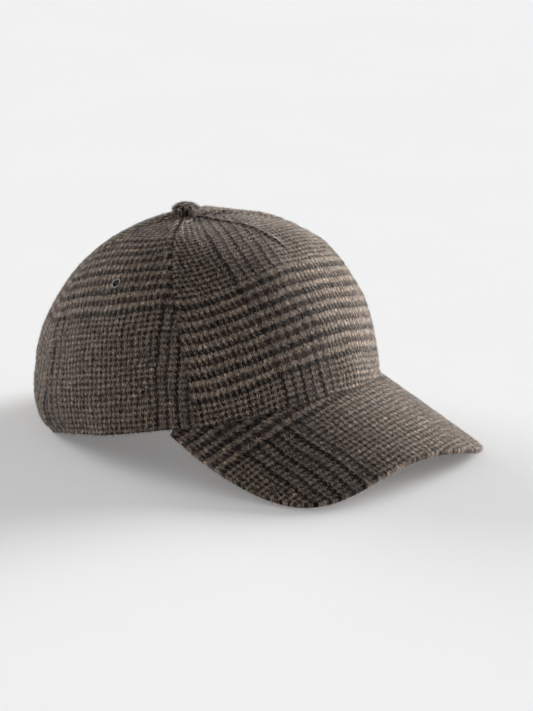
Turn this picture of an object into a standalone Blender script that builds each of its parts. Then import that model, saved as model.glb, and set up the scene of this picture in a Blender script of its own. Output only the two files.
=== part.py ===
"""Five-panel wool cap, lying on a flat surface with its peak toward -Y.

The crown is five curved panels of lined wool cloth that meet along seams. The peak is a stiff board
covered in the same cloth. A covered button closes the top, and each side panel has a metal eyelet.
The cap rests on the back of its hem and on the two low corners of its arched peak. The origin is on
that surface, at the middle of the cap's width and length. The pieces are laid out from the widest
line of the hem, and their parent moves them to the origin. Angles around the crown are turns from
the front, positive toward the wearer's left (+X).
"""

import bmesh
import bpy
import numpy as np
from math import asin, atan2, cos, pi, radians, sin, sqrt, tan
from mathutils import Matrix, Vector

MM = 0.001

# Crown, measured on the outer face of the cloth
HEM_HALF_WIDTH = 91 * MM
FRONT_REACH = 88 * MM
BACK_REACH = 118 * MM
CROWN_HEIGHT = 118 * MM
TOP_SET_BACK = 22.5 * MM
CROWN_WALL = 2.0 * MM
TOP_HOLE_RADIUS = 4.0 * MM

# Each direction's meridian: reach_power squares off its plan, rise_power its shoulder
ROUNDNESS = [
    # direction, reach_power, rise_power
    ("front", 4.3, 1.35),
    ("side", 2.85, 2.3),
    ("back", 1.6, 1.8),
]
DIRECTION_BLEND = 1.5

# The back of the hem is gathered in under the fuller crown
GATHER = 0.17
GATHER_HEIGHT = 21 * MM

# Seams between the panels: turn from the front at the hem, and how it changes up to the button
FRONT_SEAM_FOOT = radians(52)
FRONT_SEAM_LEAN = radians(17.5)
BACK_SEAM_FOOT = radians(118)
BACK_SEAM_LEAN = radians(-1.6)
SEAM_GAP = 0.3 * MM

# The dart runs from the button part of the way down the front panel
DART_LEAN = radians(9)
DART_LENGTH_SHARE = 0.28
DART_FADE_SHARE = 0.08
DART_DEPTH = 0.9 * MM
DART_WIDTH = 5.0 * MM

# The hem follows the peak's arch in front and falls to the floor behind it
HEM_FLOOR_LINE = 68 * MM
HEM_FALL_POWER = 0.85
HEM_TURN_UNDER = 2.0 * MM

# Peak
PEAK_ARCH_RADIUS = 131 * MM
PEAK_PITCH = radians(19)
PEAK_FLARE = 4.0 * MM
PEAK_LENGTH = 62 * MM
PEAK_CORNER_TURN = radians(61)
PEAK_CORNER_TAPER = 25 * MM
PEAK_SIDE_POWER = 3.8
PEAK_FRONT_POWER = 3.5
PEAK_THICKNESS = 3.2 * MM
PEAK_END_WIDTH = 2.5 * MM
PEAK_CLEARANCE = 0.3 * MM
PEAK_FOOT_LIFT = 0.02 * MM

# Button
BUTTON_RADIUS = 7.4 * MM
BUTTON_UNDERSIDE_RADIUS = 6.9 * MM
BUTTON_HEIGHT = 7.0 * MM
BUTTON_EDGE_HEIGHT = 3.4 * MM
BUTTON_CLEARANCE = 0.3 * MM

# Eyelets
EYELET_TURN = radians(92.7)
EYELET_RISE_SHARE = 0.543
EYELET_HOLE_RADIUS = 2.0 * MM
EYELET_BARREL_RADIUS = 2.4 * MM
EYELET_FLANGE_RADIUS = 3.1 * MM
EYELET_FLANGE_HEIGHT = 0.8 * MM
EYELET_CLEARANCE = 0.3 * MM

# Mesh steps
ROWS_UP = 20
COLUMNS_FRONT = 26
COLUMNS_SIDE = 12
COLUMNS_BACK = 14
PEAK_COLUMNS = 40
PEAK_ROWS = 8

COLOURS = {
    "wool": (0.115, 0.100, 0.088, 1.0),
    "gun_metal": (0.150, 0.150, 0.150, 1.0),
}


def clear_scene():
    for thing in list(bpy.data.objects):
        bpy.data.objects.remove(thing, do_unlink=True)


def new_collection(name):
    collection = bpy.data.collections.new(name)
    bpy.context.scene.collection.children.link(collection)
    return collection


def material(name, colour, roughness, metallic):
    made = bpy.data.materials.new(name)
    made.use_nodes = True
    shader = made.node_tree.nodes["Principled BSDF"]
    shader.inputs["Base Color"].default_value = colour
    shader.inputs["Roughness"].default_value = roughness
    shader.inputs["Metallic"].default_value = metallic
    return made


def blend(turn, column):
    """One column of ROUNDNESS for a turn, mixed between its two nearest directions."""
    front, side, back = [row[column] for row in ROUNDNESS]
    toward = abs(cos(turn)) ** DIRECTION_BLEND
    far = front if cos(turn) > 0 else back
    return side + (far - side) * toward


def hem_plan(turn):
    """The crown's plan at its fullest, before the back is gathered in."""
    reach = FRONT_REACH if cos(turn) > 0 else BACK_REACH
    return HEM_HALF_WIDTH * sin(turn), -reach * cos(turn)


def peak_height(x, y):
    """Height of the peak's top face above its own datum: a tilted arch."""
    drop = PEAK_ARCH_RADIUS - sqrt(PEAK_ARCH_RADIUS ** 2 - x ** 2)
    return y * tan(PEAK_PITCH) - drop


def peak_normal(x):
    """Upward normal of the peak's top face."""
    lean = x / sqrt(PEAK_ARCH_RADIUS ** 2 - x ** 2)
    return Vector((lean, -tan(PEAK_PITCH), 1.0)).normalized()


def peak_outline():
    """Plan points of the peak's free edge, from its right corner round the front to its left."""
    corner_x, corner_y = hem_plan(PEAK_CORNER_TURN)
    corner_arc = PEAK_ARCH_RADIUS * asin(corner_x / PEAK_ARCH_RADIUS)
    start = corner_arc + PEAK_END_WIDTH
    half_width = corner_arc + PEAK_FLARE
    length = FRONT_REACH + corner_y + PEAK_LENGTH
    points = []
    for step in range(241):
        angle = -pi / 2 + pi * step / 240
        y = corner_y - length * abs(cos(angle)) ** (2 / PEAK_FRONT_POWER)
        away = min(1.0, (corner_y - y) / PEAK_CORNER_TAPER)
        widen = away * away * (3 - 2 * away)
        limit = start + (half_width - start) * widen
        arc = min(half_width * abs(sin(angle)) ** (2 / PEAK_SIDE_POWER), limit)
        x = PEAK_ARCH_RADIUS * sin(arc / PEAK_ARCH_RADIUS)
        points.append((x if angle > 0 else -x, y))
    return points


def find_peak_datum():
    """Datum height at which the lowest point of the peak's underside just clears the floor."""
    lowest = 0.0
    for x, y in peak_outline():
        under = peak_height(x, y) - PEAK_THICKNESS * peak_normal(x).z
        lowest = min(lowest, under)
    return PEAK_FOOT_LIFT - lowest


PEAK_DATUM = find_peak_datum()


def hem_height(turn):
    """The hem lies on the peak in front, and sinks to just under the floor line behind."""
    x, y = hem_plan(turn)
    beyond = abs(atan2(sin(turn), cos(turn))) - PEAK_CORNER_TURN
    if beyond <= 0:
        return PEAK_DATUM + peak_height(x, y) + PEAK_CLEARANCE
    corner_x, corner_y = hem_plan(PEAK_CORNER_TURN)
    corner = PEAK_DATUM + peak_height(corner_x, corner_y) + PEAK_CLEARANCE
    back = min(1.0, (y - corner_y) / (HEM_FLOOR_LINE - corner_y))
    return -HEM_TURN_UNDER + (corner + HEM_TURN_UNDER) * (1 - back) ** HEM_FALL_POWER


def crown_point(turn, rise):
    """Outer face of the crown; rise runs from 0 at the hem to 1 at the top."""
    hem_x, hem_y = hem_plan(turn)
    low = hem_height(turn)
    reach = cos(pi / 2 * rise) ** (2 / blend(turn, 1))
    climb = sin(pi / 2 * rise) ** (2 / blend(turn, 2))
    behind = max(0.0, -cos(turn))
    reach *= 1 - GATHER * behind * np.exp(-climb * CROWN_HEIGHT / GATHER_HEIGHT)
    x = hem_x * reach
    y = TOP_SET_BACK + (hem_y - TOP_SET_BACK) * reach
    z = low + (CROWN_HEIGHT - low) * climb
    return Vector((x, y, z))


def crown_frame(turn, rise):
    """Point and outward normal of the crown's outer face."""
    step = 0.002
    along = crown_point(turn + step, rise) - crown_point(turn - step, rise)
    up = crown_point(turn, rise + step) - crown_point(turn, rise - step)
    return crown_point(turn, rise), along.cross(up).normalized()


def middle_shift():
    """How far the widest line of the hem lies behind the middle of the cap's length."""
    back = max(crown_point(pi, step / 100).y for step in range(101))
    return (FRONT_REACH + PEAK_LENGTH - back) / 2


def front_seam(rise):
    return FRONT_SEAM_FOOT + FRONT_SEAM_LEAN * rise


def back_seam(rise):
    return BACK_SEAM_FOOT + BACK_SEAM_LEAN * rise


def dart_line(rise):
    return DART_LEAN * rise


def dart_dent(across, rise):
    """Depth of the dart's valley at a distance across it; it fades out at its lower end."""
    start = 1 - DART_LENGTH_SHARE
    fade = min(1.0, max(0.0, (rise - start) / DART_FADE_SHARE))
    return DART_DEPTH * fade * np.exp(-(2 * across / DART_WIDTH) ** 2)


def spread(turn, rise):
    """Length of crown, across a seam, that one radian of turn covers."""
    step = 0.002
    return (crown_point(turn + step, rise) - crown_point(turn - step, rise)).length / (2 * step)


def column_points(line, edge, dart=False):
    """One column of a panel, from the hem to the hole at the top, in even steps along its length.

    line gives the turn for a rise. edge is -1 or 1 where the column is a panel's edge and stands
    half a seam gap back from the seam, and 0 inside a panel.
    """
    fine = []
    for step in range(161):
        rise = 1 - (1 - step / 160) ** 3
        turn = line(rise)
        turn += edge * 0.5 * SEAM_GAP / max(spread(turn, rise), TOP_HOLE_RADIUS)
        point = crown_point(turn, rise)
        if dart:
            across = (turn - dart_line(rise)) * sqrt(point.x ** 2 + (point.y - TOP_SET_BACK) ** 2)
            point.z -= dart_dent(across, rise)
        fine.append(point)
    fine = np.array(fine)
    plan = np.hypot(fine[:, 0], fine[:, 1] - TOP_SET_BACK)
    end = np.argmax(plan < TOP_HOLE_RADIUS)
    share = (plan[end - 1] - TOP_HOLE_RADIUS) / (plan[end - 1] - plan[end])
    last = fine[end - 1] + (fine[end] - fine[end - 1]) * share
    fine = np.vstack([fine[:end], last])
    length = np.concatenate([[0], np.cumsum(np.linalg.norm(np.diff(fine, axis=0), axis=1))])
    wanted = np.linspace(0, length[-1], ROWS_UP + 1)
    return np.stack([np.interp(wanted, length, fine[:, axis]) for axis in range(3)], axis=1)


def grid_object(name, columns, collection, wool):
    """An open surface from equal columns of points, with its faces turned outward."""
    mesh = bmesh.new()
    made = [[mesh.verts.new(point) for point in column] for column in columns]
    for left, right in zip(made[:-1], made[1:]):
        for row in range(len(left) - 1):
            mesh.faces.new((left[row], right[row], right[row + 1], left[row + 1]))
    data = bpy.data.meshes.new(name)
    mesh.to_mesh(data)
    mesh.free()
    data.shade_smooth()
    made = bpy.data.objects.new(name, data)
    made.data.materials.append(wool)
    collection.objects.link(made)
    return made


def thicken(piece, thickness):
    """Solidify inward from the outer face."""
    shell = piece.modifiers.new("Cloth", "SOLIDIFY")
    shell.thickness = thickness
    shell.offset = -1
    shell.use_even_offset = True


def cut(piece, cutter):
    hole = piece.modifiers.new("Cut", "BOOLEAN")
    hole.operation = "DIFFERENCE"
    hole.solver = "EXACT"
    hole.object = cutter


def make_panel(name, start, end, count, collection, wool):
    """A panel between two seams, each a function that gives the turn for a rise."""
    columns = []
    for step in range(count + 1):
        share = step / count
        edge = 1 if step == 0 else -1 if step == count else 0
        columns.append(column_points(
            lambda rise: start(rise) + (end(rise) - start(rise)) * share, edge))
    panel = grid_object(name, columns, collection, wool)
    thicken(panel, CROWN_WALL)
    return panel


def make_front_panel(collection, wool):
    """One piece across the front, with its columns closest together along the dart."""
    half = COLUMNS_FRONT // 2
    columns = []
    for step in range(-half, half + 1):
        share = abs(step / half) ** 1.6
        side = -1 if step < 0 else 1
        edge = -side if abs(step) == half else 0
        columns.append(column_points(
            lambda rise: dart_line(rise) + (side * front_seam(rise) - dart_line(rise)) * share,
            edge, dart=True))
    panel = grid_object("front_panel", columns, collection, wool)
    thicken(panel, CROWN_WALL)
    return panel


def resample(points, count):
    """Even steps along a plan curve."""
    points = np.array(points)
    length = np.concatenate([[0], np.cumsum(np.linalg.norm(np.diff(points, axis=0), axis=1))])
    wanted = np.linspace(0, length[-1], count + 1)
    return [(np.interp(at, length, points[:, 0]), np.interp(at, length, points[:, 1]))
            for at in wanted]


def sewn_line():
    """Plan of the hem's outer face along the peak, from the right corner to the left."""
    turns = [PEAK_CORNER_TURN * (step / 60 - 1) for step in range(121)]
    return resample([hem_plan(turn) for turn in turns], PEAK_COLUMNS)


def make_peak(collection, wool):
    """An arched sheet lofted from its sewn edge to its free edge.

    The strip that lies under the crown's wall is level across the wall, so that the hem seats on it.
    """
    columns = []
    for (x0, y0), (x1, y1) in zip(sewn_line(), resample(peak_outline(), PEAK_COLUMNS)):
        out = Vector((x0 / HEM_HALF_WIDTH ** 2, y0 / FRONT_REACH ** 2)).normalized()
        column = []
        for row in range(PEAK_ROWS, -1, -1):
            share = row / PEAK_ROWS
            x = x0 + (x1 - x0) * share
            y = y0 + (y1 - y0) * share
            column.append(Vector((x, y, PEAK_DATUM + peak_height(x, y))))
        hem = column[-1]
        column.append(Vector((hem.x - out.x * CROWN_WALL, hem.y - out.y * CROWN_WALL, hem.z)))
        columns.append(column)
    peak = grid_object("peak", columns, collection, wool)
    thicken(peak, PEAK_THICKNESS)
    return peak


def turned(name, profile, closed, steps, collection, finish):
    """A profile in the XZ plane turned about Z."""
    mesh = bmesh.new()
    points = [mesh.verts.new((x, 0, z)) for x, z in profile]
    for first, second in zip(points[:-1], points[1:]):
        mesh.edges.new((first, second))
    if closed:
        mesh.edges.new((points[-1], points[0]))
    data = bpy.data.meshes.new(name)
    mesh.to_mesh(data)
    mesh.free()
    data.materials.append(finish)
    made = bpy.data.objects.new(name, data)
    collection.objects.link(made)
    turn = made.modifiers.new("Turn", "SCREW")
    turn.steps = steps
    turn.render_steps = steps
    turn.use_merge_vertices = True
    turn.merge_threshold = 0.00001
    turn.use_smooth_shade = True
    return made


def make_button(collection, wool):
    """A domed disc over the hole where the seams meet."""
    profile = [(0, BUTTON_HEIGHT)]
    dome = BUTTON_HEIGHT - BUTTON_EDGE_HEIGHT
    for step in range(1, 9):
        angle = pi / 2 * step / 8
        profile.append((BUTTON_RADIUS * sin(angle), BUTTON_EDGE_HEIGHT + dome * cos(angle)))
    profile.append((BUTTON_UNDERSIDE_RADIUS, 0))
    profile.append((0, 0))
    button = turned("button", profile, False, 28, collection, wool)
    button.location = (0, TOP_SET_BACK, CROWN_HEIGHT + BUTTON_CLEARANCE)
    return button


def eyelet_profile():
    """A rolled flange outside the cloth and a barrel through it, from the flange's outer edge."""
    seat = EYELET_CLEARANCE
    mid = (EYELET_HOLE_RADIUS + EYELET_FLANGE_RADIUS) / 2
    half = (EYELET_FLANGE_RADIUS - EYELET_HOLE_RADIUS) / 2
    profile = []
    for step in range(9):
        angle = pi * step / 8
        profile.append((mid - half * cos(angle), seat + EYELET_FLANGE_HEIGHT * sin(angle)))
    profile.append((EYELET_BARREL_RADIUS, seat))
    profile.append((EYELET_BARREL_RADIUS, -CROWN_WALL))
    profile.append((EYELET_HOLE_RADIUS, -CROWN_WALL))
    return profile


def make_eyelet(name, side, panel, collection, cutters, metal):
    """Set an eyelet square to the cloth, and cut the hole that its barrel goes through."""
    centre, normal = crown_frame(side * EYELET_TURN, EYELET_RISE_SHARE)
    square = normal.to_track_quat("Z", "Y")
    eyelet = turned(name, eyelet_profile(), True, 24, collection, metal)
    eyelet.rotation_euler = square.to_euler()
    eyelet.location = centre
    bpy.ops.mesh.primitive_cylinder_add(
        vertices=24, radius=EYELET_BARREL_RADIUS + EYELET_CLEARANCE, depth=6 * CROWN_WALL)
    cutter = bpy.context.object
    cutter.name = name + "_hole"
    cutter.matrix_world = Matrix.Translation(centre) @ square.to_matrix().to_4x4()
    hide_cutter(cutter, cutters)
    cut(panel, cutter)
    return eyelet


def hide_cutter(cutter, cutters):
    for collection in list(cutter.users_collection):
        collection.objects.unlink(cutter)
    cutters.objects.link(cutter)
    cutter.hide_render = True
    cutter.display_type = "WIRE"


def make_floor_cutter(cutters):
    """A block whose top is the floor; it trims the turned-under hem flat."""
    side = 4 * (BACK_REACH + FRONT_REACH)
    depth = 20 * HEM_TURN_UNDER
    bpy.ops.mesh.primitive_cube_add(size=1)
    block = bpy.context.object
    block.name = "floor_trim"
    for vertex in block.data.vertices:
        vertex.co = (vertex.co.x * side, vertex.co.y * side, (vertex.co.z - 0.5) * depth)
    hide_cutter(block, cutters)
    return block


def build():
    clear_scene()
    cap = new_collection("wool_cap")
    cutters = new_collection("cutters")
    wool = material("wool", COLOURS["wool"], 0.95, 0.0)
    metal = material("gun_metal", COLOURS["gun_metal"], 0.35, 1.0)
    floor = make_floor_cutter(cutters)

    make_front_panel(cap, wool)
    seams = {
        "side_panel_right": (lambda r: -back_seam(r), lambda r: -front_seam(r), COLUMNS_SIDE),
        "side_panel_left": (front_seam, back_seam, COLUMNS_SIDE),
        "back_panel_right": (lambda r: -pi, lambda r: -back_seam(r), COLUMNS_BACK),
        "back_panel_left": (back_seam, lambda r: pi, COLUMNS_BACK),
    }
    panels = {}
    for name, (start, end, count) in seams.items():
        panels[name] = make_panel(name, start, end, count, cap, wool)
        cut(panels[name], floor)
    make_button(cap, wool)
    make_peak(cap, wool)
    make_eyelet("eyelet_right", -1, panels["side_panel_right"], cap, cutters, metal)
    make_eyelet("eyelet_left", 1, panels["side_panel_left"], cap, cutters, metal)

    layout = bpy.data.objects.new("layout", None)
    layout.location = (0, middle_shift(), 0)
    cap.objects.link(layout)
    for piece in list(cap.objects) + list(cutters.objects):
        if piece != layout:
            piece.parent = layout


build()
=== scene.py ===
"""A five-panel wool cap, lying by itself on a pale table.

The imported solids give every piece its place. This file makes the cloth that is seen: five panels
turned in at their seams, a covered peak and button, two eyelets, and the nap that stands off the
wool. Lengths are metres, written as millimetres times MM. Turns run round the crown from the front,
positive toward the wearer's left. Shapes are worked out from the widest line of the hem.
"""

from math import cos, pi, radians, sin, tan

import bmesh
import bpy
import numpy as np
from mathutils import Matrix, Vector


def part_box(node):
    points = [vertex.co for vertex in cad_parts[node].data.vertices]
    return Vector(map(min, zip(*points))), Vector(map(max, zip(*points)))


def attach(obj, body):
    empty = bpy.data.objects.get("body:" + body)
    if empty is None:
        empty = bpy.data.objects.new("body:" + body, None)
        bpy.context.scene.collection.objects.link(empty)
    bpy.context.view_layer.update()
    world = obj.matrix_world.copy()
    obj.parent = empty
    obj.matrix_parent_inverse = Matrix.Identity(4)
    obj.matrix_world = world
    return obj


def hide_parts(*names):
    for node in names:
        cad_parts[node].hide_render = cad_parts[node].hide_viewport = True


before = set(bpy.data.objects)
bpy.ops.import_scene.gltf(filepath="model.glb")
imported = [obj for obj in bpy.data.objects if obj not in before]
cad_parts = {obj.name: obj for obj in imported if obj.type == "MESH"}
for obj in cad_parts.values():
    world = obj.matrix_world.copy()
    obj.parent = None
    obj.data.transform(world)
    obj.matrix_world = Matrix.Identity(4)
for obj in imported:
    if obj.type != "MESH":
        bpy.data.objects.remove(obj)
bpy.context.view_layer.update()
MM = 0.001


# Front panel
# One piece of brushed wool right across the front, with a dart from the button that takes up its
# fullness over the forehead. It is steamed over a block together with the other four panels, so that
# all five share one smooth face, and it is turned in and sewn at both sides.

# The block's sizes come first: the hem in plan, the height, and how full each direction is
HEM_HALF_WIDTH = 91 * MM
FRONT_REACH = 88 * MM
BACK_REACH = 118 * MM
CROWN_HEIGHT = 118 * MM
TOP_SET_BACK = 22.5 * MM
TOP_HOLE_RADIUS = 4 * MM
REACH_POWER = {"front": 4.3, "side": 2.85, "back": 1.6}
RISE_POWER = {"front": 1.35, "side": 2.3, "back": 1.8}
DIRECTION_BLEND = 1.5
GATHER = 0.17
GATHER_HEIGHT = 21 * MM
HEM_FLOOR_LINE = 68 * MM
HEM_FALL_POWER = 0.85
HEM_TURN_UNDER = 2 * MM
SLOPE_STEP = 0.002

# The hem lies on the peak in front, so the peak's arch and outline are needed here too
PEAK_ARCH_RADIUS = 131 * MM
PEAK_PITCH = radians(19)
PEAK_FLARE = 4 * MM
PEAK_LENGTH = 62 * MM
PEAK_CORNER_TURN = radians(61)
PEAK_CORNER_TAPER = 25 * MM
PEAK_SIDE_POWER = 3.8
PEAK_FRONT_POWER = 3.5
PEAK_THICKNESS = 3.2 * MM
PEAK_END_WIDTH = 2.5 * MM
PEAK_CLEARANCE = 0.3 * MM
PEAK_FOOT_LIFT = 0.02 * MM

# The solids stand in the middle of their own box, so the hem's middle is found from the peak's front
hem_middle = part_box("peak")[0][1] + FRONT_REACH + PEAK_LENGTH


def hem_plan(turn):
    """The hem in plan: half an ellipse in front, and a longer half behind."""
    reach = np.where(np.cos(turn) > 0, FRONT_REACH, BACK_REACH)
    return HEM_HALF_WIDTH * np.sin(turn), -reach * np.cos(turn)


def peak_height(x, y):
    """Height of the peak's top face above its own datum: a tilted arch."""
    return y * tan(PEAK_PITCH) - PEAK_ARCH_RADIUS + np.sqrt(PEAK_ARCH_RADIUS ** 2 - x ** 2)


def peak_normal(x):
    """The direction that the peak's top face looks in."""
    lean = x / np.sqrt(PEAK_ARCH_RADIUS ** 2 - x ** 2)
    facing = np.stack([lean, np.full_like(lean, -tan(PEAK_PITCH)), np.ones_like(lean)], -1)
    return facing / np.linalg.norm(facing, axis=-1, keepdims=True)


def peak_outline():
    """Plan of the peak's free edge, from its right corner round the front to its left."""
    corner_x, corner_y = hem_plan(PEAK_CORNER_TURN)
    corner_arc = PEAK_ARCH_RADIUS * np.arcsin(corner_x / PEAK_ARCH_RADIUS)
    angle = np.linspace(-pi / 2, pi / 2, 961)
    length = FRONT_REACH + corner_y + PEAK_LENGTH
    y = corner_y - length * abs(np.cos(angle)) ** (2 / PEAK_FRONT_POWER)
    away = np.clip((corner_y - y) / PEAK_CORNER_TAPER, 0, 1)
    widen = away * away * (3 - 2 * away)
    limit = corner_arc + PEAK_END_WIDTH + (PEAK_FLARE - PEAK_END_WIDTH) * widen
    arc = (corner_arc + PEAK_FLARE) * abs(np.sin(angle)) ** (2 / PEAK_SIDE_POWER)
    x = PEAK_ARCH_RADIUS * np.sin(np.minimum(arc, limit) / PEAK_ARCH_RADIUS)
    return np.stack([np.sign(angle) * x, y], -1)


rim_x, rim_y = peak_outline().T
lowest = (peak_height(rim_x, rim_y) - PEAK_THICKNESS * peak_normal(rim_x)[:, 2]).min()
peak_datum = PEAK_FOOT_LIFT - lowest


def hem_height(turn):
    """The hem lies on the peak in front, and sinks to just under the table behind it."""
    x, y = hem_plan(turn)
    beyond = abs(np.arctan2(np.sin(turn), np.cos(turn))) > PEAK_CORNER_TURN
    corner_x, corner_y = hem_plan(PEAK_CORNER_TURN)
    corner = peak_datum + peak_height(corner_x, corner_y) + PEAK_CLEARANCE
    back = np.clip((y - corner_y) / (HEM_FLOOR_LINE - corner_y), 0, 1)
    falling = -HEM_TURN_UNDER + (corner + HEM_TURN_UNDER) * (1 - back) ** HEM_FALL_POWER
    return np.where(beyond, falling, peak_datum + peak_height(x, y) + PEAK_CLEARANCE)


def between_directions(power, turn):
    """A power for this turn, between those given for the front, the side and the back."""
    far = np.where(np.cos(turn) > 0, power["front"], power["back"])
    return power["side"] + (far - power["side"]) * abs(np.cos(turn)) ** DIRECTION_BLEND


def crown(turn, rise):
    """Points on the crown's outer face; rise runs from 0 at the hem to 1 at the top."""
    hem_x, hem_y = hem_plan(turn)
    low = hem_height(turn)
    reach = np.cos(pi / 2 * rise) ** (2 / between_directions(REACH_POWER, turn))
    climb = np.sin(pi / 2 * rise) ** (2 / between_directions(RISE_POWER, turn))
    behind = np.maximum(0, -np.cos(turn))
    reach = reach * (1 - GATHER * behind * np.exp(-climb * CROWN_HEIGHT / GATHER_HEIGHT))
    y = TOP_SET_BACK + (hem_y - TOP_SET_BACK) * reach
    return np.stack([hem_x * reach, y, low + (CROWN_HEIGHT - low) * climb], -1)


def crown_normal(turn, rise):
    """The direction that the crown's outer face looks in."""
    along = crown(turn + SLOPE_STEP, rise) - crown(turn - SLOPE_STEP, rise)
    up = crown(turn, np.minimum(rise + SLOPE_STEP, 1)) - crown(turn, np.maximum(rise - SLOPE_STEP, 0))
    facing = np.cross(along, up)
    return facing / np.linalg.norm(facing, axis=-1, keepdims=True)


# The cloth is a glen check in 2/2 twill, from yarns about 0.78 mm apart. Its blocks of wide bands,
# four threads to a colour, take turns with blocks of fine ones, two threads to a colour. The weft is
# the fuller yarn, so its navy bands read as stripes and the brown of the warp shows through less.
# Sizes in the pattern are counted in threads.

THREAD = 0.78 * MM
WARP_BANDS = [("#140c0b", 4), ("#7e7168", 4), ("#34302f", 4), ("#7e7168", 4)]
WARP_FINE = [("#040303", 2), ("#978779", 2), ("#2b2625", 2), ("#978779", 2)]
WARP_BAND_THREADS = 48
WARP_THREADS = 128
WEFT_BANDS = [("#06080d", 4), ("#a89788", 4), ("#332623", 4), ("#a89788", 4)]
WEFT_FINE = [("#04060b", 2), ("#948476", 2), ("#251f1d", 2), ("#948476", 2)]
WEFT_BAND_THREADS = 72
WEFT_THREADS = 160
WEFT_SHOWN = {"bands over": 0.92, "bands under": 0.5, "fine over": 0.8, "fine under": 0.03}
DARK_WARP_SHOWN = 0.36
YARN_TONES = 0.76, 1.24
CROSSING_TONES = 0.62, 1.38
# Painted shade: each float is darkened toward its edges, where the grooves between threads fall
RIDGE_SHADE_TONES = 0.78, 1.06
CLOUD_TONES = 0.9, 1.1
MELANGE_TONES = 0.1, 2.1

# Threads waver by up to one and a half of their widths, in waves of about 20 mm
WAVER_SCALE = 0.04
WAVER_BY = 3.0, 1.5, 0.0
# Dragged fibres are drawn 0.65 mm wide and 2.6 mm long, and loose ones 0.6 by 2.2 mm: wool fibre of
# 0.03 mm would be too fine to show
DRAG_SCALE = 1.2, 0.3, 1.0
DRAG_BY = 1.3, 3.6, 0.0
HAIR_SCALE = 1.3, 0.36, 1.0
HAIR_OFFSET = 31.0, 17.0, 0.0
HAIR_LEAN = radians(11)
LOOSE_HAIR = "#96877b"
# Fulling leaves faint clouds about 10 mm wide
CLOUD_SCALE = 0.08
RELIEF = 0.14 * MM


def linear(colour):
    """An sRGB hex value as linear RGBA."""
    parts = [int(colour[at:at + 2], 16) / 255 for at in (1, 3, 5)]
    return [p / 12.92 if p <= 0.04045 else ((p + 0.055) / 1.055) ** 2.4 for p in parts] + [1.0]


def add(tree, kind, inputs=None, output=0, **settings):
    """Add a node with its settings, feed its inputs with values or outputs, and give its own output."""
    made = tree.nodes.new(kind)
    for name, value in settings.items():
        setattr(made, name, value)
    for name, value in (inputs or {}).items():
        if isinstance(value, bpy.types.NodeSocket):
            tree.links.new(value, made.inputs[name])
        else:
            made.inputs[name].default_value = value
    return made.outputs[output]


def thread_colour(tree, number, sequence):
    """The colour of the thread with this number, in a sequence that repeats."""
    total = sum(share for colour, share in sequence)
    turn = add(tree, "ShaderNodeMath", {0: number, 1: total}, operation="FLOORED_MODULO")
    share = add(tree, "ShaderNodeMath", {0: turn, 1: 1 / total, 2: 0.5 / total}, operation="MULTIPLY_ADD")
    colour = add(tree, "ShaderNodeValToRGB", {0: share}, "Color")
    ramp = colour.node.color_ramp
    ramp.interpolation = "CONSTANT"
    while len(ramp.elements) < len(sequence):
        ramp.elements.new(1.0)
    begun = 0
    for stop, (tone, width) in zip(ramp.elements, sequence):
        stop.position = begun / total
        stop.color = linear(tone)
        begun += width
    return colour


def dyed_yarns(tree, number, bands, fine, band_threads, all_threads):
    """One set of yarns, warp or weft, in a block of wide bands and a block of fine ones.

    It gives their colour, and 1 in the fine block.
    """
    turn = add(tree, "ShaderNodeMath", {0: number, 1: all_threads}, operation="FLOORED_MODULO")
    is_fine = add(tree, "ShaderNodeMath", {0: turn, 1: band_threads - 0.5}, operation="GREATER_THAN")
    colour = add(tree, "ShaderNodeMix", {0: is_fine, 6: thread_colour(tree, number, bands),
                                         7: thread_colour(tree, number, fine)}, 2, data_type="RGBA")
    tone = add(tree, "ShaderNodeTexWhiteNoise", {"W": number}, noise_dimensions="1D")
    tone = add(tree, "ShaderNodeMapRange", {0: tone, 3: YARN_TONES[0], 4: YARN_TONES[1]})
    colour = add(tree, "ShaderNodeMix", {0: 1.0, 6: colour, 7: tone}, 2, data_type="RGBA",
                 blend_type="MULTIPLY")
    return colour, is_fine


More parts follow.
